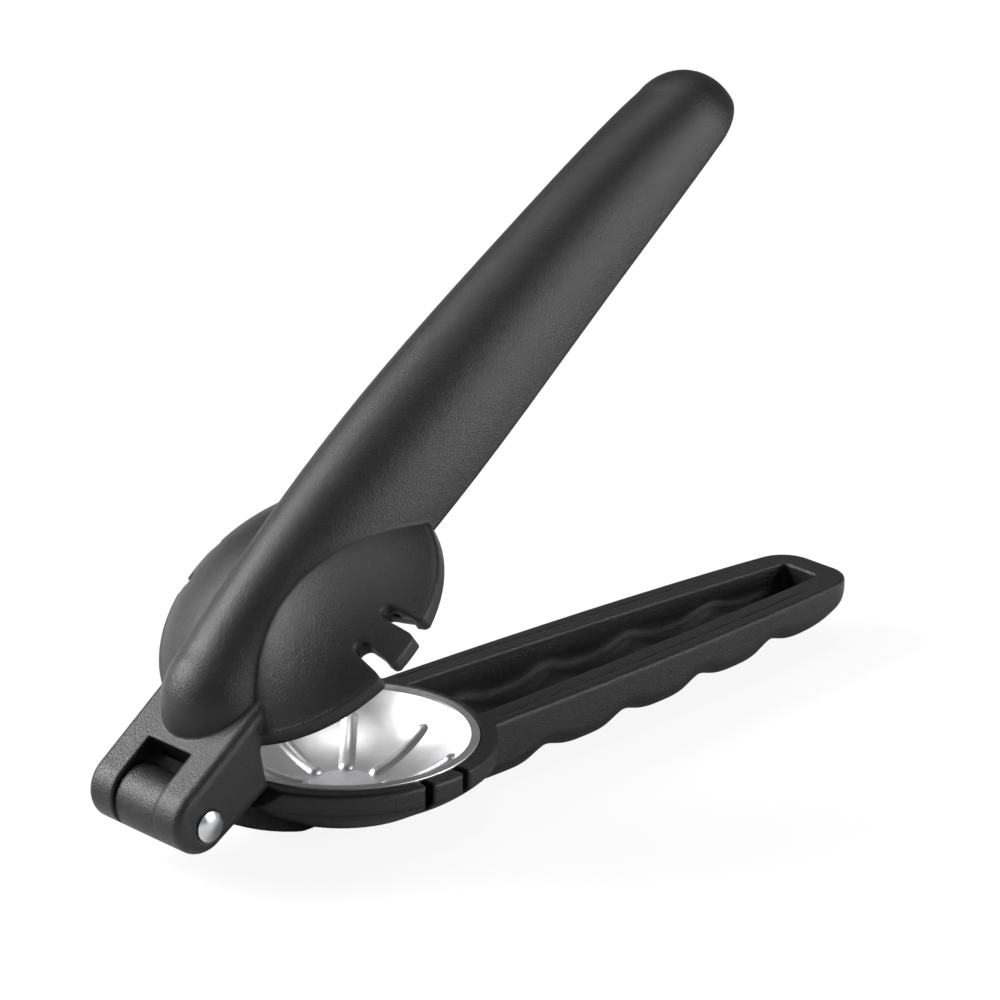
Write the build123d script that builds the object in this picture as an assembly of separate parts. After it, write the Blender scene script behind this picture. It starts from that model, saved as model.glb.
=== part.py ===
"""Chestnut cutter: two moulded levers on one riveted hinge, a pressed steel bowl below and a
cross of blades in a snap-in carrier above.

Everything is drawn with the levers shut: hinge axis on Y through zero, X towards the grips.
The upper lever and what it carries are then swung open, and the whole is set down on Z = 0
with the bowl centre above the origin.
"""
import os
from math import radians, sin, sqrt

from build123d import *

# Pose and set-down
open_angle = 36.7          # opening shown, degrees
rest_plane = 12.8          # rest face below the hinge axis

# Hinge
hinge_half_width = 13.2    # outer faces of the ears
window_half_width = 6.0    # inner faces of the ears
knuckle_half_width = 5.65
knuckle_radius = 6.3
knuckle_x = -0.6           # centre of the knuckle's round
knuckle_z = 0.5
ear_radius = 6.65
ear_centre_z = 1.35
ear_edge_round = 1.9
ear_foot_x = 13.8          # lower front corner of an ear
ear_foot_z = -6.6
ear_root_x = 17.7          # where its front edge meets the rim plane
ear_root_round = 2.0
ear_gap = 0.4              # swept clear beside an ear
ear_front_gap = 0.6        # and ahead of its front edge
window_front_x = 8.5
plate_wall = 2.2
sleeve_radius = 2.4
sleeve_bore_radius = 1.5
running_clearance = 0.06   # knuckle bore over the sleeve, radial
head_radius = 2.95
head_rise = 1.15
head_seat_depth = 0.5
head_seat_clearance = 0.1
sleeve_end_gap = 0.6       # sleeve end short of the near head

# Cup, shared by both levers
cup_x = 44.5
cup_radius = 29.4
rim_z = 1.05               # lower rim plane
rim_gap = 0.3              # between the two rims when shut
wall = 2.0
overrun = 2.0              # cuts run this far past the faces they open

# Lower ring and saucer
ring_edge_round = 0.7
ring_wall_foot_z = -2.9
saucer_shoulder_radius = cup_radius - 6.2
saucer_shoulder_z = -7.3
saucer_sag = 0.2
saucer_knee_radius = 17.5
saucer_knee_z = -10.6
saucer_floor_radius = 9.0
saucer_floor_z = -12.2
ring_lip = 3.1             # ring outside the bowl's flange
seat_radius = cup_radius - ring_lip
ring_slot_angles = (-8.4, 9.9)    # from square across, towards the grip, degrees
ring_slot_width = 1.8
ring_slot_depth = 5.6
slot_mouth_round = 0.6

# Steel bowl
steel = 0.6
bowl_clearance = 0.3
flange_radius = seat_radius - bowl_clearance
flange_top_z = 1.2
flange_width = 1.7
bowl_mouth_radius = flange_radius - flange_width
bowl_floor_radius = 7.0
bowl_floor_z = -9.3
bowl_sag = 2.0
rib_count = 8
rib_start_radius = 8.6
rib_end_radius = bowl_mouth_radius - 3.7
rib_radius = 1.9
rib_sink = 1.0             # centre of the rib's round below the bowl face

# Neck and keel, one rib from the hinge arm to the first finger bulge
neck_start = (12.3, -5.9)
neck_middle = (21.0, -9.9)
keel_start_x = 30.5
keel_end_x = 74.0
keel_run_out = 8.0
keel_edge_round = 0.8

# Lower grip
grip_x = (56.0, 80.0, 100.0, 130.0, 148.0, 163.0, 176.7)
grip_half = (16.2, 15.9, 15.4, 14.1, 12.9, 11.6, 9.9)
grip_end_corner = 7.0
grip_top_round = 0.7
grip_under_round = 3.6
channel_x = (56.0, 118.0, 171.0)
channel_half = (10.9, 8.5, 5.0)
channel_corner = 1.6
channel_back_radius = cup_radius - 1.9
floor_wall = 2.3
lip_width = 3.1
groove_width = 0.6
groove_depth = 0.5
groove_end_x = 165.0
bulge_x = 73.0             # first of the finger bulges
bulge_pitch = 22.0
bulge_count = 4
bulge_z = -11.1
bulge_rise = 0.85          # each bulge higher than the last
valley_z = -8.8
valley_rise = 0.9
shoulder_reach_share = 0.28    # part of the pitch where the wave steepens
shoulder_drop_share = 0.3      # part of its height there
end_x = (166.0, 170.3, 173.5, 176.0, 177.6)
end_z = (-7.3, -6.2, -4.6, -2.8, -0.8)

# Dome
dome_apex_z = 16.3
dome_crease_radius = cup_radius - 0.8
dome_crease_z = 4.4
dome_skirt_top_z = dome_crease_z - 0.4
dome_rise = dome_apex_z - dome_crease_z
dome_cap_radius = (dome_rise * dome_rise + dome_crease_radius * dome_crease_radius) / (2 * dome_rise)
notch_angles = (-9.0, 10.7)    # from square across, towards the grip, degrees
notch_width = 3.0
notch_depth = 6.1
notch_inner_radius = cup_radius - notch_depth
notch_mouth_round = 1.3
dome_lip = 2.5             # dome outside the carrier
carrier_recess_radius = cup_radius - dome_lip
carrier_shoulder_z = 4.2
carrier_shoulder_radius = carrier_recess_radius - 2.1
bead_depth = 0.6
bead_height = 0.7

# Spine and upper grip
nose_length = 13.9
spine_x = (23.0, 36.0, 58.0, 80.0, 110.0, 140.0, 168.0)
spine_half = (11.9, 11.6, 12.9, 13.6, 12.7, 11.4, 10.3)
spine_top_z = (17.5, 19.5, 21.2, 21.5, 20.3, 18.0, 14.3)
spine_tip_length = 12.6
end_seam = 0.02            # rounded ends kept this much inside the spine's skin
spine_wall = 2.3
spine_hollow_x = 60.0

# Blade carrier and blades
carrier_clearance = 0.3
carrier_radius = carrier_recess_radius - carrier_clearance
carrier_thickness = 2.2
carrier_lip_radius = carrier_shoulder_radius - 2.2
carrier_lip_height = 1.4
carrier_notch_radius = carrier_lip_radius - wall - 0.6
carrier_notch_ease = 0.3
blade_thickness = 0.6
blade_slot_clearance = 0.15
blade_shoulder = carrier_lip_radius - wall - 2.1    # half length above the carrier
blade_reach = blade_shoulder - 3.0                  # half length below the carrier
blade_tip_z = -1.6
blade_mid_z = 1.9
blade_roof_gap = 0.25
blade_bevel = 1.4
blade_edge = 0.12


def at_cup(shape):
    """Move a shape drawn about the Z axis to the cup centre."""
    return Pos(cup_x, 0, 0) * shape


def turned(points_face):
    """Turn a radius/height outline about the Z axis."""
    return revolve(Plane.XZ * points_face, axis=Axis.Z)


def between_y(face, y0, y1):
    """Side outline given a thickness across, from y0 to y1."""
    return extrude(Pos(0, y1, 0) * (Plane.XZ * face), amount=y1 - y0)


def plate_y(face, half):
    """Side outline given a thickness across, centred on Y = 0."""
    return between_y(face, -half, half)


def slab(x0, x1, y0, y1, z0, z1):
    size = (x1 - x0, y1 - y0, z1 - z0)
    return Pos((x0 + x1) / 2, (y0 + y1) / 2, (z0 + z1) / 2) * Box(*size)


def across(radius, y0, y1):
    """Cylinder along Y about the hinge axis."""
    return Pos(0, (y0 + y1) / 2, 0) * Rot(90, 0, 0) * Cylinder(radius, y1 - y0)


def bowl_arc():
    """Centre and radius of the arc that forms the bowl's inner face."""
    mouth_z = flange_top_z - steel
    dx, dz = bowl_mouth_radius - bowl_floor_radius, mouth_z - bowl_floor_z
    chord = sqrt(dx * dx + dz * dz)
    radius = (chord * chord / 4 + bowl_sag * bowl_sag) / (2 * bowl_sag)
    nx, nz = dz / chord, -dx / chord
    mx = (bowl_mouth_radius + bowl_floor_radius) / 2
    mz = (mouth_z + bowl_floor_z) / 2
    back = radius - bowl_sag
    return mx - nx * back, mz - nz * back, radius


def arc_height(r, offset):
    """Height of the bowl's arc, pushed out by offset, at radius r."""
    cx, cz, radius = bowl_arc()
    out = radius + offset
    return cz - sqrt(out * out - (r - cx) * (r - cx))


def arc_reach(z, offset):
    """Radius where the pushed-out arc reaches height z."""
    cx, cz, radius = bowl_arc()
    out = radius + offset
    return cx + sqrt(out * out - (z - cz) * (z - cz))


def bowl_outline(offset, top_z, outer_r):
    """Outline of everything inside the bowl's arc pushed out by offset, up to top_z."""
    floor_z = bowl_floor_z - offset
    cx, cz, radius = bowl_arc()
    out = radius + offset
    floor_r = cx + sqrt(max(out * out - (cz - floor_z) * (cz - floor_z), 0))
    mid_r = (floor_r + outer_r) / 2
    foot, edge = (floor_r, floor_z), (outer_r, arc_height(outer_r, offset))
    return make_face([
        Line((0, top_z), (0, floor_z)),
        Line((0, floor_z), foot),
        ThreePointArc(foot, (mid_r, arc_height(mid_r, offset)), edge),
        Line(edge, (outer_r, top_z)),
        Line((outer_r, top_z), (0, top_z)),
    ])


def rib_body(radius):
    """Round-ended bar following the bowl's arc, sunk below its face."""
    cx, cz, bowl_r = bowl_arc()
    path_r = bowl_r + rib_sink

    def on_path(r):
        return (r, 0, cz - sqrt(path_r * path_r - (r - cx) * (r - cx)))

    mid_r = (rib_start_radius + rib_end_radius) / 2
    start, end = on_path(rib_start_radius), on_path(rib_end_radius)
    path = ThreePointArc(start, on_path(mid_r), end)
    bar = sweep(Plane(origin=path @ 0, z_dir=path % 0) * Circle(radius), path=path)
    return bar + Pos(*start) * Sphere(radius) + Pos(*end) * Sphere(radius)


def bowl_insert():
    under_z = flange_top_z - steel
    inner_r = arc_reach(under_z, 0)
    outer_r = arc_reach(under_z, steel)
    pan = turned(bowl_outline(steel, flange_top_z, outer_r))
    flange = Pos(0, 0, under_z + steel / 2) * Cylinder(flange_radius, steel)
    hollow = turned(bowl_outline(0, flange_top_z + steel, inner_r))
    body = pan + flange - hollow
    rim = [e for e in body.edges().filter_by(GeomType.CIRCLE) if e.radius > flange_radius - steel / 4]
    body = fillet(rim, steel / 3)
    within = turned(bowl_outline(steel, flange_top_z, inner_r))
    for i in range(rib_count):
        turn = Rot(0, 0, i * 360 / rib_count)
        body = body + turn * (rib_body(rib_radius) & within)
    for i in range(rib_count):
        body = body - Rot(0, 0, i * 360 / rib_count) * rib_body(rib_radius - steel)
    return at_cup(body)


def ring_and_saucer():
    top, foot = (cup_radius, rim_z), (cup_radius, ring_wall_foot_z)
    shoulder = (saucer_shoulder_radius, saucer_shoulder_z)
    knee, floor = (saucer_knee_radius, saucer_knee_z), (saucer_floor_radius, saucer_floor_z)
    mid_r = (cup_radius + saucer_shoulder_radius) / 2 + saucer_sag
    mid_z = (ring_wall_foot_z + saucer_shoulder_z) / 2 - saucer_sag
    outline = make_face([
        Line((0, rim_z), top), Line(top, foot),
        ThreePointArc(foot, (mid_r, mid_z), shoulder),
        Line(shoulder, knee), Line(knee, floor), Line(floor, (0, saucer_floor_z)),
        Line((0, saucer_floor_z), (0, rim_z)),
    ])
    body = turned(outline)
    edge = body.edges().filter_by(GeomType.CIRCLE).sort_by(Axis.Z)[-1]
    return at_cup(fillet(edge, ring_edge_round))


def seat_hollow():
    """Space for the steel bowl: running clearance below, recess for its flange."""
    offset = steel + bowl_clearance
    under_z = flange_top_z - steel
    pan = turned(bowl_outline(offset, rim_z + overrun, arc_reach(under_z, offset)))
    height = rim_z + overrun - under_z
    recess = Pos(0, 0, under_z + height / 2) * Cylinder(seat_radius, height)
    return at_cup(pan + recess)


def mouth_rounds(half, radius, z0, z1):
    """Cut rounding both corners where a slot of this half width opens through the rim."""
    cuts = []
    for side in (-1, 1):
        y0, y1 = sorted((side * half, side * (half + radius)))
        keep = Pos(cup_radius - radius, side * (half + radius), (z0 + z1) / 2) * Cylinder(radius, z1 - z0)
        cuts.append(slab(cup_radius - radius, cup_radius + overrun, y0, y1, z0, z1) - keep)
    return cuts[0] + cuts[1]


def ring_slots():
    """Narrow slots either side of each spring finger of the ring."""
    cuts = []
    half = ring_slot_width / 2
    for side in (90, -90):
        for offset in ring_slot_angles:
            turn = side - offset if side > 0 else side + offset
            z0, z1 = rim_z - ring_slot_depth, rim_z + overrun
            block = slab(seat_radius - overrun, cup_radius + overrun, -half, half, z0, z1)
            cuts.append(at_cup(Rot(0, 0, turn) * (block + mouth_rounds(half, slot_mouth_round, z0, z1))))
    return cuts


def neck_and_keel():
    """Knuckle, arm and the rib under the bowl that ends in the first finger bulge."""
    knuckle = across(knuckle_radius, -knuckle_half_width, knuckle_half_width)
    knuckle = Pos(knuckle_x, 0, knuckle_z) * knuckle
    start, flat = (knuckle_x, knuckle_z - knuckle_radius), (keel_start_x, -rest_plane)
    rib_end = (keel_end_x + keel_run_out, -rest_plane + keel_run_out)
    side = make_face([
        Line((0, rim_z), start), Line(start, neck_start),
        ThreePointArc(neck_start, neck_middle, flat),
        Line(flat, (keel_end_x, -rest_plane)),
        Line((keel_end_x, -rest_plane), rib_end),
        Line(rib_end, (cup_x, rib_end[1])),
        Line((cup_x, rib_end[1]), (cup_x, rim_z)),
        Line((cup_x, rim_z), (0, rim_z)),
    ])
    rib = plate_y(side, knuckle_half_width)
    low = [e for e in rib.edges() if e.bounding_box().max.Z < -rest_plane + keel_edge_round
           and abs(e.center().Y) > knuckle_half_width / 2]
    return knuckle + fillet(low, keel_edge_round)


def wave(lift):
    """Scalloped underside of the lower grip, raised by lift."""
    points = []
    reach = shoulder_reach_share * bulge_pitch
    for i in range(bulge_count + 1):
        x, z = bulge_x + i * bulge_pitch, bulge_z + i * bulge_rise
        if i:
            before = valley_z + (i - 1) * valley_rise
            points.append((x - reach, z + shoulder_drop_share * (before - z) + lift))
        points.append((x, z + lift))
        if i < bulge_count:
            valley = valley_z + i * valley_rise
            points.append((x + reach, z + shoulder_drop_share * (valley - z) + lift))
            points.append((x + bulge_pitch / 2, valley + lift))
    return points


def grip_outer():
    """Solid block of the lower grip: bowed plan, scalloped profile, rounded underneath."""
    x0, x1 = grip_x[0], grip_x[-1]
    low = wave(0) + list(zip(end_x, end_z))
    side = make_face([
        Line((x0, rim_z), (x0, bulge_z)),
        Line((x0, bulge_z), low[0]),
        Spline(low, tangents=[(1, 0), (0, 1)]),
        Line(low[-1], (low[-1][0], rim_z)),
        Line((low[-1][0], rim_z), (x0, rim_z)),
    ])
    left = list(zip(grip_x, grip_half))
    right = [(x, -y) for x, y in left]
    plan = make_face([Spline(left), Line(left[-1], right[-1]), Spline(right), Line(right[0], left[0])])
    plan = fillet(plan.vertices().sort_by(Axis.X)[-2:], grip_end_corner)
    block = extrude(Pos(0, 0, -rest_plane) * plan, amount=rest_plane + rim_z)
    body = plate_y(side, grip_half[0] + overrun) & block
    under = [e for e in body.edges() if abs(e.center().Y) > wall
             and e.bounding_box().min.Z < end_z[0] + wall and e.bounding_box().max.X > x0 + wall]
    body = fillet(under, grip_under_round)
    top = [e for e in body.edges() if e.bounding_box().min.Z > rim_z - wall / 10
           and e.bounding_box().max.X > x0 + wall]
    return fillet(top, grip_top_round)


def channel_side(offset, end_x_at):
    """Edge of the trough in plan, moved out by offset, from the root to end_x_at."""
    points = [(x, y + offset) for x, y in zip(channel_x, channel_half)]
    arc = ThreePointArc(*points)
    start, end = arc @ 0, arc @ 1
    share = (end_x_at - start.X) / (end.X - start.X)
    return [(p.X, p.Y) for p in (arc @ (share * k / len(grip_x)) for k in range(len(grip_x) + 1))]


def channel():
    """Open trough of the lower grip, its floor following the scallops."""
    x0, x1, above = channel_x[0], channel_x[-1], rim_z + overrun
    floor = wave(floor_wall)
    under = make_face([
        Line((x0, above), (x0, floor[0][1])), Line((x0, floor[0][1]), floor[0]),
        Spline(floor, tangents=[(1, 0), (1, 0)]),
        Line(floor[-1], (x1 + overrun, floor[-1][1])),
        Line((x1 + overrun, floor[-1][1]), (x1 + overrun, above)), Line((x1 + overrun, above), (x0, above)),
    ])
    left = list(zip(channel_x, channel_half))
    right = [(x, -y) for x, y in left]
    plan = make_face([ThreePointArc(*left), Line(left[-1], right[-1]), ThreePointArc(*right),
                      Line(right[0], left[0])])
    plan = fillet(plan.vertices().sort_by(Axis.X)[-2:], channel_corner)
    prism = extrude(Pos(0, 0, -rest_plane) * plan, amount=rest_plane + above)
    ring = at_cup(Cylinder(channel_back_radius, 4 * rest_plane))
    return (plate_y(under, channel_half[0] + overrun) & prism) - ring


def lip_grooves():
    """Fine groove each side along the lip of the trough, closing to a point before the tip."""
    inner = channel_side(lip_width, groove_end_x)
    outer = channel_side(lip_width + groove_width, groove_end_x)[:-1]
    ring = at_cup(Cylinder(cup_radius + groove_width, 4 * rest_plane))
    cuts = []
    for side in (1, -1):
        there = [(x, side * y) for x, y in inner]
        back = [(x, side * y) for x, y in reversed(outer)]
        edge = make_face([Spline(there), Spline([there[-1]] + back), Line(back[-1], there[0])])
        cuts.append(extrude(Pos(0, 0, rim_z - groove_depth) * edge, amount=groove_depth + overrun) - ring)
    return cuts


def ear_reliefs():
    """Space the two ears swing through, ahead of the hinge."""
    slope = (ear_root_x - ear_foot_x) / (rim_z + rim_gap - ear_foot_z)
    front, top = ear_foot_x + ear_front_gap, rim_z + overrun
    edge = make_face(Polyline((0, top), (0, ear_foot_z), (front, ear_foot_z),
                              (front + slope * (top - ear_foot_z), top), close=True))
    cuts = []
    for side in (-1, 1):
        y0, y1 = sorted((side * knuckle_half_width, side * (hinge_half_width + ear_gap)))
        cuts.append(between_y(edge, y0, y1))
    return cuts


def lower_handle():
    body = ring_and_saucer() + neck_and_keel() + grip_outer()
    body = body - seat_hollow() - channel()
    for cut in ring_slots() + lip_grooves() + ear_reliefs():
        body = body - cut
    bore = across(sleeve_radius + running_clearance, -hinge_half_width, hinge_half_width)
    return body - bore


def cap_height(r, offset):
    """Height of the dome's cap, drawn in by offset, at radius r."""
    radius = dome_cap_radius - offset
    return dome_apex_z - dome_cap_radius + sqrt(radius * radius - r * r)


def cap_outline(offset, outer_r, foot_z, skirt_z):
    mid_r = outer_r / 2
    apex = (0, cap_height(0, offset))
    crease_r = min(dome_crease_radius - offset, outer_r)
    crease = (crease_r, cap_height(crease_r, offset))
    lines = [Line((0, foot_z), apex), ThreePointArc(apex, (mid_r, cap_height(mid_r, offset)), crease)]
    if crease_r < outer_r:
        lines += [Line(crease, (outer_r, skirt_z)), Line((outer_r, skirt_z), (outer_r, foot_z))]
    else:
        lines.append(Line(crease, (outer_r, foot_z)))
    lines.append(Line((outer_r, foot_z), (0, foot_z)))
    return make_face(lines)


def dome_solid():
    foot_z = rim_z + rim_gap
    body = turned(cap_outline(0, cup_radius, foot_z, dome_skirt_top_z))
    edges = body.edges().filter_by(GeomType.CIRCLE).sort_by(Axis.Z)
    body = fillet([e for e in edges if e.radius > dome_crease_radius - wall / 10
                   and e.center().Z > foot_z + wall / 2], ring_edge_round)
    return at_cup(body)


def dome_hollow():
    roof = turned(cap_outline(wall, carrier_shoulder_radius, rim_z - overrun, 0))
    height = carrier_shoulder_z - rim_z + overrun
    recess = Pos(0, 0, rim_z - overrun + height / 2) * Cylinder(carrier_recess_radius, height)
    return at_cup(roof + recess)


def notches(inner_radius, width):
    """Open notches either side of each spring tongue of the dome."""
    cuts = []
    half = width / 2
    z0, z1 = rim_z - overrun, dome_apex_z + overrun
    for side in (90, -90):
        for offset in notch_angles:
            turn = side - offset if side > 0 else side + offset
            bar = slab(inner_radius + half, cup_radius + overrun, -half, half, z0, z1)
            end = Pos(inner_radius + half, 0, (z0 + z1) / 2) * Cylinder(half, z1 - z0)
            mouth = mouth_rounds(half, notch_mouth_round, z0, z1)
            cuts.append(at_cup(Rot(0, 0, turn) * (bar + end + mouth)))
    return cuts


def tongue_beads():
    """Small catches inside the two tongues that hold the carrier up."""
    top = carrier_shoulder_z - carrier_thickness
    z0 = top - bead_height
    ring = turned(make_face(Polyline(
        (carrier_recess_radius + wall / 4, z0), (carrier_recess_radius, z0),
        (carrier_recess_radius - bead_depth, z0 + bead_height / 2),
        (carrier_recess_radius - bead_depth, top),
        (carrier_recess_radius + wall / 4, top), close=True)))
    half = carrier_recess_radius * sin(radians(min(map(abs, notch_angles)))) - notch_width / 2
    both = slab(-half + bead_depth, half - bead_depth, -cup_radius, cup_radius, z0 - overrun, top + overrun)
    return at_cup(ring & both)


def clevis_side():
    """Side outline of the ears and the plate ahead of them."""
    plate_z = ear_centre_z + ear_radius
    foot_z = rim_z + rim_gap
    side = make_face([
        Line((0, plate_z), (cup_x, plate_z)),
        Line((cup_x, plate_z), (cup_x, foot_z)),
        Line((cup_x, foot_z), (ear_root_x, foot_z)),
        Line((ear_root_x, foot_z), (ear_foot_x, ear_foot_z)),
        Line((ear_foot_x, ear_foot_z), (0, ear_centre_z - ear_radius)),
        ThreePointArc((0, ear_centre_z - ear_radius), (-ear_radius, ear_centre_z), (0, plate_z)),
    ])
    return fillet(side.vertices().sort_by_distance((ear_root_x, foot_z))[0], ear_root_round)


def clevis():
    """The two ears and the plate that joins them."""
    plate_z = ear_centre_z + ear_radius
    foot_z = rim_z + rim_gap
    body = plate_y(clevis_side(), hinge_half_width)
    outer = [e for e in body.edges() if abs(abs(e.center().Y) - hinge_half_width) < wall / 10
             and e.center().X < ear_foot_x * 2]
    long_top = [e for e in body.edges() if abs(abs(e.center().Y) - hinge_half_width) < wall / 10
                and abs(e.center().Z - plate_z) < wall / 10]
    body = fillet(list({id(e): e for e in outer + long_top}.values()), ear_edge_round)
    reach = ear_radius * 2
    body = body - slab(-reach, window_front_x, -window_half_width, window_half_width, -reach, reach)
    body = body - slab(-reach, cup_x, -window_half_width, window_half_width, -reach, foot_z)
    pocket = slab(window_front_x + plate_wall, cup_x, -hinge_half_width + 2 * wall,
                  hinge_half_width - 2 * wall, foot_z - overrun, plate_z - plate_wall)
    return body - pocket


def arch(x, half, height):
    """Half-ellipse section standing on the upper rim plane."""
    plane = Plane(origin=(x, 0, rim_z + rim_gap), x_dir=(0, 1, 0), z_dir=(1, 0, 0))
    return plane * make_face([EllipticalCenterArc((0, 0), half, height, 0, arc_size=180),
                              Line((-half, 0), (half, 0))])


def rounded_end(x, length, half, height, forward):
    """Quarter ellipsoid closing one end of the arch."""
    half, height = half - end_seam, height - end_seam
    ball = scale(Sphere(height), by=(length / height, half / height, 1))
    base = rim_z + rim_gap
    x0, x1 = (-wall, length) if forward else (-length, wall)
    keep = slab(x0, x1, -half, half, 0, height)
    return Pos(x, 0, base) * (ball & keep)


def spine(inset, first):
    """Arched back of the upper lever, drawn in by inset from station number first onwards."""
    base = rim_z + rim_gap
    stations = list(zip(spine_x, spine_half, spine_top_z))[first:]
    faces = [arch(x, half - inset, top - base - inset) for x, half, top in stations]
    body = loft(faces)
    x, half, top = stations[-1]
    return body + rounded_end(x, spine_tip_length - inset, half - inset, top - base - inset, True)


def spine_hollow():
    """Open underside of the upper grip, ahead of the dome."""
    base = rim_z + rim_gap
    front = slab(spine_hollow_x, spine_x[-1] + 2 * spine_tip_length, -cup_radius, cup_radius,
                 0, 2 * cup_radius)
    edge = [(x, half - spine_wall) for x, half in zip(spine_x, spine_half)][2:]
    edge.append((spine_x[-1] + spine_tip_length - spine_wall, 0))
    outline = Polyline(*edge, *[(x, -y) for x, y in reversed(edge[:-1])], close=True)
    mouth = extrude(Pos(0, 0, base - wall / 2) * make_face(outline), amount=wall / 2)
    return (spine(spine_wall, 2) & front) + mouth


def upper_handle():
    base = rim_z + rim_gap
    nose = rounded_end(spine_x[0], nose_length, spine_half[0], spine_top_z[0] - base, False)
    body = spine(0, 0) + dome_solid() + clevis() + nose
    body = body - dome_hollow() - (spine_hollow() - dome_solid())
    for cut in notches(notch_inner_radius, notch_width):
        body = body - cut
    body = body + tongue_beads()
    body = body - across(sleeve_radius, -2 * hinge_half_width, 2 * hinge_half_width)
    for side in (-1, 1):
        face = side * hinge_half_width
        y0, y1 = sorted((face - side * head_seat_depth, face + side * overrun))
        body = body - across(head_radius + head_seat_clearance, y0, y1)
    return body


def domed_head(side):
    """Rivet head seated in its shallow recess."""
    seat = hinge_half_width - head_seat_depth
    rim = head_rise / 3
    radius = (head_radius * head_radius + (head_rise - rim) * (head_rise - rim)) / (2 * (head_rise - rim))
    top = seat + head_seat_depth + head_rise
    ball = Pos(0, side * (top - radius), 0) * Sphere(radius)
    y0, y1 = sorted((side * seat, side * (top + rim)))
    return across(head_radius, y0, y1) & ball


def hinge_pin():
    seat = hinge_half_width - head_seat_depth
    post = across(sleeve_bore_radius, -seat, seat)
    return domed_head(-1) + post


def pin_sleeve():
    seat = hinge_half_width - head_seat_depth
    tube = across(sleeve_radius, -seat + sleeve_end_gap, seat) + domed_head(1)
    return tube - across(sleeve_bore_radius, -seat, seat)


def blade_roof(x):
    """Top height of a blade so that it clears the dome's roof."""
    return cap_height(abs(x), wall) - blade_roof_gap


def blade_outline():
    shoulder_z = carrier_shoulder_z
    top = [(-blade_shoulder, blade_roof(blade_shoulder)), (0, blade_roof(0)),
           (blade_shoulder, blade_roof(blade_shoulder))]
    return make_face([
        ThreePointArc(top[0], top[1], top[2]),
        Line(top[2], (blade_shoulder, shoulder_z)),
        Line((blade_shoulder, shoulder_z), (blade_reach, shoulder_z)),
        Line((blade_reach, shoulder_z), (blade_reach, blade_tip_z)),
        ThreePointArc((blade_reach, blade_tip_z), (0, blade_mid_z), (-blade_reach, blade_tip_z)),
        Line((-blade_reach, blade_tip_z), (-blade_reach, shoulder_z)),
        Line((-blade_reach, shoulder_z), (-blade_shoulder, shoulder_z)),
        Line((-blade_shoulder, shoulder_z), top[0]),
    ])


def edge_arc():
    """Centre height and radius of the blade's concave cutting edge."""
    sag = blade_mid_z - blade_tip_z
    radius = (blade_reach * blade_reach + sag * sag) / (2 * sag)
    return blade_mid_z - radius, radius


def blade(slot_from_top):
    """Blade standing in the XZ plane, half-lapped at the middle."""
    body = plate_y(blade_outline(), blade_thickness / 2)
    centre_z, radius = edge_arc()
    for side in (-1, 1):
        far = side * blade_thickness / 2
        near = side * blade_edge / 2
        section = Plane.YZ * make_face(Polyline(
            (near, centre_z + radius), (far, centre_z + radius + blade_bevel),
            (far + side * overrun, centre_z + radius + blade_bevel),
            (far + side * overrun, centre_z + radius - overrun), (near, centre_z + radius - overrun),
            close=True))
        half_turn = revolve(section, axis=Axis((0, 0, centre_z), (0, 1, 0)))
        body = body - half_turn
    middle = (blade_mid_z + blade_roof(0)) / 2
    gap = blade_thickness / 2 + blade_slot_clearance / 2
    z0, z1 = (middle, dome_apex_z) if slot_from_top else (blade_tip_z - overrun, middle)
    return body - slab(-gap, gap, -overrun, overrun, z0, z1)


def long_blade():
    return at_cup(blade(True))


def cross_blade():
    return at_cup(Rot(0, 0, 90) * blade(False))


def blade_carrier():
    z0 = carrier_shoulder_z - carrier_thickness
    disc = Pos(0, 0, z0 + carrier_thickness / 2) * Cylinder(carrier_radius, carrier_thickness)
    edges = disc.edges().filter_by(GeomType.CIRCLE).sort_by(Axis.Z)
    disc = fillet(edges[0], bead_depth)
    lip = Cylinder(carrier_lip_radius, carrier_lip_height)
    lip = lip - Cylinder(carrier_lip_radius - wall, carrier_lip_height)
    body = disc + Pos(0, 0, carrier_shoulder_z + carrier_lip_height / 2) * lip
    gap = blade_thickness / 2 + blade_slot_clearance
    end = blade_reach + blade_slot_clearance
    z1 = carrier_shoulder_z + overrun
    body = body - slab(-end, end, -gap, gap, z0 - overrun, z1)
    body = at_cup(body - slab(-gap, gap, -end, end, z0 - overrun, z1))
    for cut in notches(carrier_notch_radius, notch_width + 2 * carrier_notch_ease):
        body = body - cut
    return body


def set_down(shape):
    return Pos(-cup_x, 0, rest_plane) * shape


def swung(shape):
    return shape.rotate(Axis((0, 0, 0), (0, 1, 0)), -open_angle)


LOWER = {"lower_handle": lower_handle, "bowl_insert": bowl_insert}
UPPER = {"upper_handle": upper_handle, "blade_carrier": blade_carrier, "long_blade": long_blade,
         "cross_blade": cross_blade, "hinge_pin": hinge_pin, "pin_sleeve": pin_sleeve}


def main():
    os.makedirs("parts", exist_ok=True)
    for name, make in LOWER.items():
        export_step(set_down(make()), f"parts/{name}.step")
    for name, make in UPPER.items():
        export_step(set_down(swung(make())), f"parts/{name}.step")


main()
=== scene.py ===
"""Chestnut cutter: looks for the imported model. Charcoal moulded levers with a fine spark-eroded
grain, a polished pressed steel bowl, ground steel blades and a polished rivet.
"""

from math import radians

import bpy
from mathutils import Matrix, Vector

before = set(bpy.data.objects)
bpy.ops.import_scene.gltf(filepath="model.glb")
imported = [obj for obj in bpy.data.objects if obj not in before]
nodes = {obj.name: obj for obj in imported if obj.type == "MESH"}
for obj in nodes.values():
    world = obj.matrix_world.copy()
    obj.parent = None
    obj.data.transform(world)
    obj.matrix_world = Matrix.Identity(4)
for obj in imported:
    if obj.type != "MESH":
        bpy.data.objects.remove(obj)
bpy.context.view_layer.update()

# Lengths are in metres unless a comment says otherwise.

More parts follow.
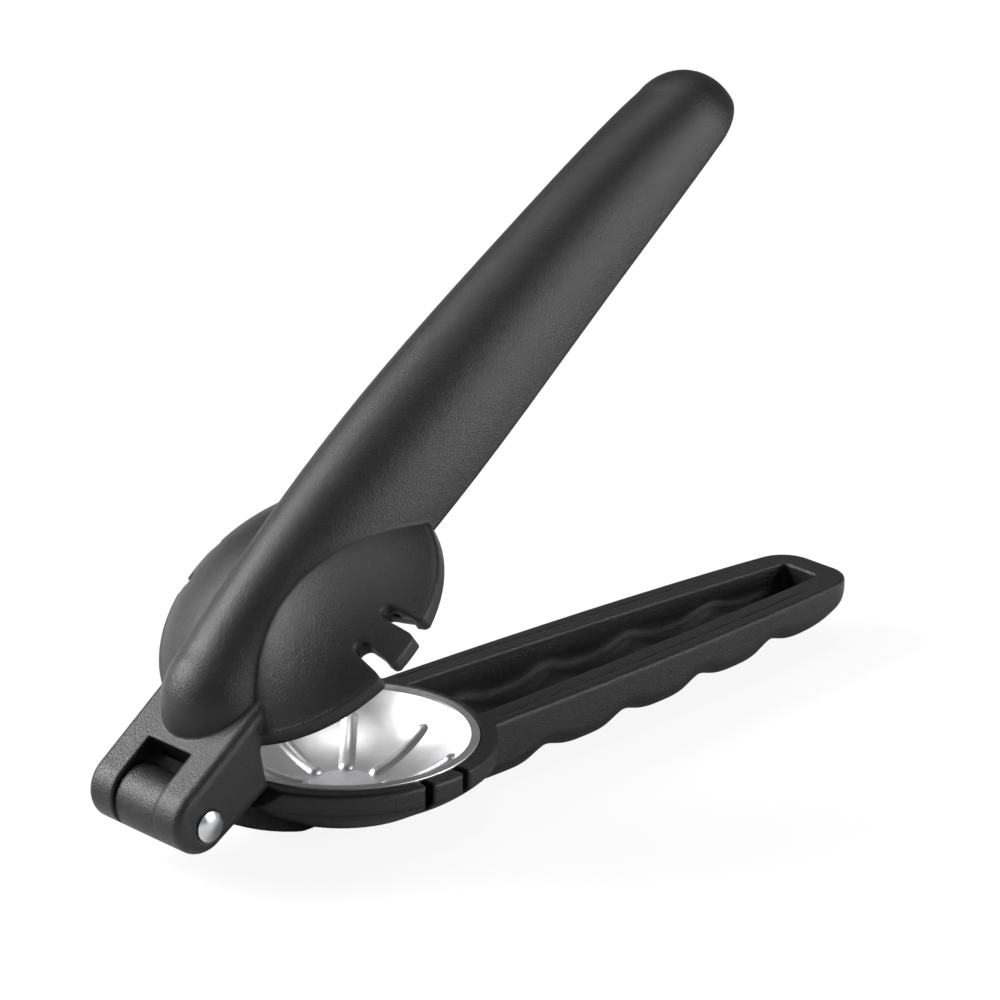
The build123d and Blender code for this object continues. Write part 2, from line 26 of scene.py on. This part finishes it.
# Camera: where the photograph was taken from
CAMERA_PLACE = (-0.57898, -0.65556, 0.38742)
CAMERA_TURN = (69.547, -0.023, -43.389)    # degrees
CAMERA_LENS = 180.0       # millimetres
CAMERA_SENSOR = 36.0      # millimetres
CAMERA_CLIP = (0.05, 50.0)

# Moulded plastic
GRAIN = 0.00027           # finest pits
GRAIN_COARSE = 0.0006     # wider pits under them
MOTTLE = 0.018            # patches rubbed smoother by use
GRAIN_STRENGTH = 0.9
GRAIN_COARSE_STRENGTH = 0.18
GRAIN_ROUGHNESS = 0.17    # how far the pits change the roughness
GRAIN_IN_COLOUR = 0.65    # share of the pits in the colour; the patches give the rest
COLOUR_FROM, COLOUR_TO = 0.30, 0.72
SHEEN = 0.56
PLASTIC_IOR = 1.48
CHARCOAL = (0.004, 0.004, 0.0043)
LEVER_LIGHT = (0.013, 0.013, 0.014)
LEVER_ROUGHNESS = (0.30, 0.39)
LEVER_GRAIN_DEPTH = 0.00014
CARRIER_LIGHT = (0.011, 0.011, 0.012)
CARRIER_ROUGHNESS = (0.38, 0.46)
CARRIER_GRAIN_DEPTH = 0.00012

# Softened edges of the plastic
EDGE_SOFTNESS = 0.0011    # small rounds that a mould leaves along every edge
EDGE_SAMPLES = 8
TROUGH_SOFTNESS = 0.0042  # the wide round where the trough's floor meets its walls
TROUGH_TOP, TROUGH_DEEP = 0.0118, 0.0092    # heights between which that round sets in
TROUGH_ROOT, TROUGH_TIP = 0.0115, 0.1265    # ends of the trough along the grip
TROUGH_HALF_AT_ROOT, TROUGH_HALF_AT_TIP = 0.0138, 0.0081    # midway through the side walls

# Steel: colours run from a dark to a light end, roughness from smooth to rough
BOWL_DARK, BOWL_LIGHT = (0.70, 0.70, 0.71), (0.80, 0.80, 0.81)
BOWL_ROUGHNESS = (0.34, 0.46)
BOWL_MARK = 0.0003        # width of the circular drawing marks
BOWL_MARK_STRENGTH, BOWL_MARK_DEPTH = 0.12, 0.00003
BOWL_WAVE = 0.012
BOWL_WAVE_STRENGTH, BOWL_WAVE_DEPTH = 0.35, 0.0006
BOWL_HAZE = 0.006
BLADE_DARK, BLADE_LIGHT = (0.62, 0.63, 0.65), (0.80, 0.81, 0.83)
BLADE_ROUGHNESS = (0.20, 0.38)
BLADE_SCRATCH = 0.0004
BLADE_STRETCH = (1.0, 1.0, 0.08)    # draws the scratches out across the blade
BLADE_SCRATCH_STRENGTH, BLADE_SCRATCH_DEPTH = 0.3, 0.00004
RIVET_DARK, RIVET_LIGHT = (0.62, 0.63, 0.65), (0.76, 0.77, 0.79)
RIVET_ROUGHNESS = (0.16, 0.30)
RIVET_DINT = 0.0009
RIVET_DINT_STRENGTH, RIVET_DINT_DEPTH = 0.25, 0.00008
RIVET_HAZE = 0.003

# Studio
OBJECT_MIDDLE = (0.03, 0.0, 0.05)
AMBIENT = 0.16            # world light on the object
MIRRORED = 0.18           # world seen in reflections
BACKGROUND = 1.0          # world seen by the camera, where 1 is white
FLOOR_SIZE = 12.0
FLOOR_PAINT = 0.60
FLOOR_GLOW = 1.12
FLOOR_LIFT = 0.80         # share of its own white in what the camera sees of the floor nearby
FLOOR_NEAR, FLOOR_FAR = 0.35, 1.1    # distances between which the floor turns plain white
SOFTBOXES = (             # name, place, width and height, watts
    ("key_back_left", (-0.62, 0.80, 0.64), (0.62, 0.60), 22.5),
    ("top", (0.15, 0.10, 1.05), (0.45, 0.35), 2.9),
    ("side_right", (0.55, -0.92, 0.34), (0.40, 0.50), 7.6),
)


def spot(size):
    """Texture scale whose features are about that many metres across."""
    return 1.0 / size


class Nodes:
    """Small helper that adds and links shader nodes in one material."""

    def __init__(self, name):
        self.material = bpy.data.materials.new(name)
        self.material.use_nodes = True
        self.tree = self.material.node_tree
        self.tree.nodes.clear()
        self.out = self.tree.nodes.new("ShaderNodeOutputMaterial")

    def add(self, kind, settings=None, **inputs):
        node = self.tree.nodes.new(kind)
        for key, value in (settings or {}).items():
            setattr(node, key, value)
        for key, value in inputs.items():
            self.put(node.inputs[key.replace("_", " ")], value)
        return node

    def put(self, socket, value):
        if isinstance(value, bpy.types.NodeSocket):
            self.tree.links.new(value, socket)
        else:
            socket.default_value = value

    def place(self):
        return self.add("ShaderNodeTexCoord").outputs["Object"]

    def noise(self, vector, scale, detail, roughness):
        node = self.add("ShaderNodeTexNoise", Vector=vector, Scale=scale, Detail=detail,
                        Roughness=roughness)
        return node.outputs["Fac"]

    def ramp(self, value, stops):
        """Colour between the stops, each a place from 0 to 1 and a colour."""
        node = self.add("ShaderNodeValToRGB", Fac=value)
        for element, (place, colour) in zip(node.color_ramp.elements, stops, strict=True):
            element.position = place
            element.color = (*colour, 1.0)
        return node.outputs["Color"]

    def between(self, value, start, end, low, high):
        """Low at start, high at end, and a straight run between them."""
        node = self.add("ShaderNodeMapRange", Value=value)
        for socket, number in zip(("From Min", "From Max", "To Min", "To Max"),
                                  (start, end, low, high)):
            node.inputs[socket].default_value = number
        return node.outputs["Result"]

    def spread(self, value, low, high):
        """A value from 0 to 1, set out from low to high."""
        return self.between(value, 0.0, 1.0, low, high)

    def maths(self, operation, *values):
        node = self.add("ShaderNodeMath", {"operation": operation})
        for socket, value in zip(node.inputs, values):
            self.put(socket, value)
        return node.outputs["Value"]

    def length(self, vector):
        node = self.add("ShaderNodeVectorMath", {"operation": "LENGTH"})
        self.put(node.inputs[0], vector)
        return node.outputs["Value"]

    def bump(self, height, strength, distance, under=None):
        node = self.add("ShaderNodeBump", Height=height, Strength=strength, Distance=distance)
        if under is not None:
            self.put(node.inputs["Normal"], under)
        return node.outputs["Normal"]

    def finish(self, **inputs):
        node = self.add("ShaderNodeBsdfPrincipled")
        for key, value in inputs.items():
            self.put(node.inputs[key.replace("_", " ")], value)
        self.tree.links.new(node.outputs["BSDF"], self.out.inputs["Surface"])
        return self.material


def trough_softness(m, place):
    """Radius of the softened edges: wide in the trough of the lower grip, small elsewhere."""
    parts = m.add("ShaderNodeSeparateXYZ", Vector=place)
    half = m.between(parts.outputs["X"], TROUGH_ROOT, TROUGH_TIP, TROUGH_HALF_AT_ROOT,
                     TROUGH_HALF_AT_TIP)
    aside = m.maths("ABSOLUTE", parts.outputs["Y"])
    inside = m.maths("LESS_THAN", aside, half)
    deep = m.between(parts.outputs["Z"], TROUGH_TOP, TROUGH_DEEP, 0.0, 1.0)
    beyond = m.maths("GREATER_THAN", parts.outputs["X"], TROUGH_ROOT)
    share = m.maths("MULTIPLY", m.maths("MULTIPLY", inside, deep), beyond)
    return m.spread(share, EDGE_SOFTNESS, TROUGH_SOFTNESS)


def moulded_plastic(name, light, roughness, grain_depth, trough=False):
    """Charcoal plastic from a spark-eroded mould: fine pits, faint mottling, rubbed patches."""
    m = Nodes(name)
    place = m.place()
    fine = m.noise(place, spot(GRAIN), 3.0, 0.6)
    pits = m.add("ShaderNodeTexVoronoi", {"feature": "SMOOTH_F1"}, Vector=place,
                 Scale=spot(GRAIN_COARSE)).outputs["Distance"]
    patches = m.noise(place, spot(MOTTLE), 4.0, 0.55)
    patches_in_colour = m.spread(patches, 0.0, 1.0 - GRAIN_IN_COLOUR)
    speck = m.maths("MULTIPLY_ADD", fine, GRAIN_IN_COLOUR, patches_in_colour)
    colour = m.ramp(speck, [(COLOUR_FROM, CHARCOAL), (COLOUR_TO, light)])
    rubbed = m.spread(patches, *roughness)
    pitted = m.maths("MULTIPLY_ADD", m.spread(fine, -1.0, 1.0), GRAIN_ROUGHNESS, rubbed)
    softness = trough_softness(m, place) if trough else EDGE_SOFTNESS
    soft = m.add("ShaderNodeBevel", {"samples": EDGE_SAMPLES}, Radius=softness)
    relief = m.bump(pits, GRAIN_COARSE_STRENGTH, grain_depth, soft.outputs["Normal"])
    relief = m.bump(fine, GRAIN_STRENGTH, grain_depth, relief)
    return m.finish(Base_Color=colour, Roughness=pitted, Normal=relief, IOR=PLASTIC_IOR,
                    Specular_IOR_Level=SHEEN)


def pressed_steel(name):
    """Polished stainless sheet: circular drawing marks, faint waviness and handling haze."""
    m = Nodes(name)
    place = m.place()
    parts = m.add("ShaderNodeSeparateXYZ", Vector=place)
    flat = m.add("ShaderNodeCombineXYZ", X=parts.outputs["X"], Y=parts.outputs["Y"])
    from_axis = m.length(flat.outputs["Vector"])
    rings = m.add("ShaderNodeCombineXYZ", X=from_axis, Z=parts.outputs["Z"])
    marks = m.noise(rings.outputs["Vector"], spot(BOWL_MARK), 3.0, 0.6)
    waves = m.noise(place, spot(BOWL_WAVE), 2.0, 0.5)
    haze = m.noise(place, spot(BOWL_HAZE), 4.0, 0.6)
    colour = m.ramp(haze, [(0.30, BOWL_DARK), (0.70, BOWL_LIGHT)])
    roughness = m.spread(haze, *BOWL_ROUGHNESS)
    relief = m.bump(waves, BOWL_WAVE_STRENGTH, BOWL_WAVE_DEPTH)
    relief = m.bump(marks, BOWL_MARK_STRENGTH, BOWL_MARK_DEPTH, relief)
    return m.finish(Base_Color=colour, Metallic=1.0, Roughness=roughness, Normal=relief)


def ground_steel(name):
    """Ground stainless blade: fine straight scratches across the blade."""
    m = Nodes(name)
    drawn_out = m.add("ShaderNodeVectorMath", {"operation": "MULTIPLY"})
    m.put(drawn_out.inputs[0], m.place())
    m.put(drawn_out.inputs[1], BLADE_STRETCH)
    lines = m.noise(drawn_out.outputs["Vector"], spot(BLADE_SCRATCH), 4.0, 0.65)
    colour = m.ramp(lines, [(0.35, BLADE_DARK), (0.65, BLADE_LIGHT)])
    roughness = m.spread(lines, *BLADE_ROUGHNESS)
    relief = m.bump(lines, BLADE_SCRATCH_STRENGTH, BLADE_SCRATCH_DEPTH)
    return m.finish(Base_Color=colour, Metallic=1.0, Roughness=roughness, Normal=relief)


def polished_rivet(name):
    """Rivet steel: tumbled polish with small dints and a little haze."""
    m = Nodes(name)
    place = m.place()
    dints = m.noise(place, spot(RIVET_DINT), 3.0, 0.6)
    haze = m.noise(place, spot(RIVET_HAZE), 3.0, 0.5)
    colour = m.ramp(haze, [(0.35, RIVET_DARK), (0.65, RIVET_LIGHT)])
    roughness = m.spread(dints, *RIVET_ROUGHNESS)
    relief = m.bump(dints, RIVET_DINT_STRENGTH, RIVET_DINT_DEPTH)
    return m.finish(Base_Color=colour, Metallic=1.0, Roughness=roughness, Normal=relief)


def dress(node, material):
    """Give a node of the CAD its one material."""
    mesh = nodes[node].data
    mesh.materials.clear()
    mesh.materials.append(material)


def backdrop_world(ambient, mirrored, background):
    """Soft ambient light, its level in reflections, and a white world behind the object."""
    world = bpy.data.worlds.new("studio")
    world.use_nodes = True
    tree = world.node_tree
    tree.nodes.clear()
    out = tree.nodes.new("ShaderNodeOutputWorld")
    path = tree.nodes.new("ShaderNodeLightPath")
    seen = tree.nodes.new("ShaderNodeMath")
    seen.operation = "MAXIMUM"
    tree.links.new(path.outputs["Is Camera Ray"], seen.inputs[0])
    tree.links.new(path.outputs["Is Transmission Ray"], seen.inputs[1])

    def white(strength):
        node = tree.nodes.new("ShaderNodeBackground")
        node.inputs["Color"].default_value = (1.0, 1.0, 1.0, 1.0)
        node.inputs["Strength"].default_value = strength
        return node.outputs["Background"]

    def either(share, low, high):
        node = tree.nodes.new("ShaderNodeMixShader")
        for socket, link in zip(node.inputs, (share, low, high)):
            tree.links.new(link, socket)
        return node.outputs["Shader"]

    around = either(path.outputs["Is Glossy Ray"], white(ambient), white(mirrored))
    whole = either(seen.outputs["Value"], around, white(background))
    tree.links.new(whole, out.inputs["Surface"])
    bpy.context.scene.world = world


def floor():
    """White studio floor that keeps a soft shadow. Part of what the camera sees near the object,
    and all of it far away, is the floor's own white.
    """
    mesh = bpy.data.meshes.new("floor")
    half = FLOOR_SIZE / 2
    corners = [(-half, -half, 0.0), (half, -half, 0.0), (half, half, 0.0), (-half, half, 0.0)]
    mesh.from_pydata(corners, [], [(0, 1, 2, 3)])
    plane = bpy.data.objects.new("floor", mesh)
    bpy.context.scene.collection.objects.link(plane)
    m = Nodes("floor_white")
    paint = m.add("ShaderNodeBsdfDiffuse", Color=(FLOOR_PAINT, FLOOR_PAINT, FLOOR_PAINT, 1.0))
    glow = m.add("ShaderNodeEmission", Color=(1.0, 1.0, 1.0, 1.0), Strength=FLOOR_GLOW)
    path = m.add("ShaderNodeLightPath")
    lift = m.between(m.length(m.place()), FLOOR_NEAR, FLOOR_FAR, FLOOR_LIFT, 1.0)
    share = m.maths("MULTIPLY", path.outputs["Is Camera Ray"], lift)
    mix = m.add("ShaderNodeMixShader", Fac=share)
    m.tree.links.new(paint.outputs["BSDF"], mix.inputs[1])
    m.tree.links.new(glow.outputs["Emission"], mix.inputs[2])
    m.tree.links.new(mix.outputs["Shader"], m.out.inputs["Surface"])
    mesh.materials.append(m.material)


def softbox(name, place, size, power):
    """Rectangular lamp that points at the middle of the object."""
    light = bpy.data.lights.new(name, "AREA")
    light.shape = "RECTANGLE"
    light.size, light.size_y = size
    light.energy = power
    lamp = bpy.data.objects.new(name, light)
    lamp.location = place
    toward = Vector(OBJECT_MIDDLE) - Vector(place)
    lamp.rotation_euler = toward.to_track_quat("-Z", "Y").to_euler()
    bpy.context.scene.collection.objects.link(lamp)


def camera():
    data = bpy.data.cameras.new("camera")
    data.lens = CAMERA_LENS
    data.sensor_width = CAMERA_SENSOR
    data.clip_start, data.clip_end = CAMERA_CLIP
    view = bpy.data.objects.new("camera", data)
    view.location = CAMERA_PLACE
    view.rotation_euler = [radians(a) for a in CAMERA_TURN]
    bpy.context.scene.collection.objects.link(view)
    bpy.context.scene.camera = view


dress("upper_handle",
      moulded_plastic("lever_plastic", LEVER_LIGHT, LEVER_ROUGHNESS, LEVER_GRAIN_DEPTH))
dress("lower_handle",
      moulded_plastic("lower_lever_plastic", LEVER_LIGHT, LEVER_ROUGHNESS, LEVER_GRAIN_DEPTH,
                      trough=True))
dress("blade_carrier",
      moulded_plastic("carrier_plastic", CARRIER_LIGHT, CARRIER_ROUGHNESS, CARRIER_GRAIN_DEPTH))
dress("bowl_insert", pressed_steel("bowl_steel"))
dress("long_blade", ground_steel("long_blade_steel"))
dress("cross_blade", ground_steel("cross_blade_steel"))
rivet = polished_rivet("rivet_steel")
for node_name in ("hinge_pin", "pin_sleeve"):
    dress(node_name, rivet)

camera()
backdrop_world(AMBIENT, MIRRORED, BACKGROUND)
floor()
for box in SOFTBOXES:
    softbox(*box)
bpy.context.scene.view_settings.view_transform = "Standard"
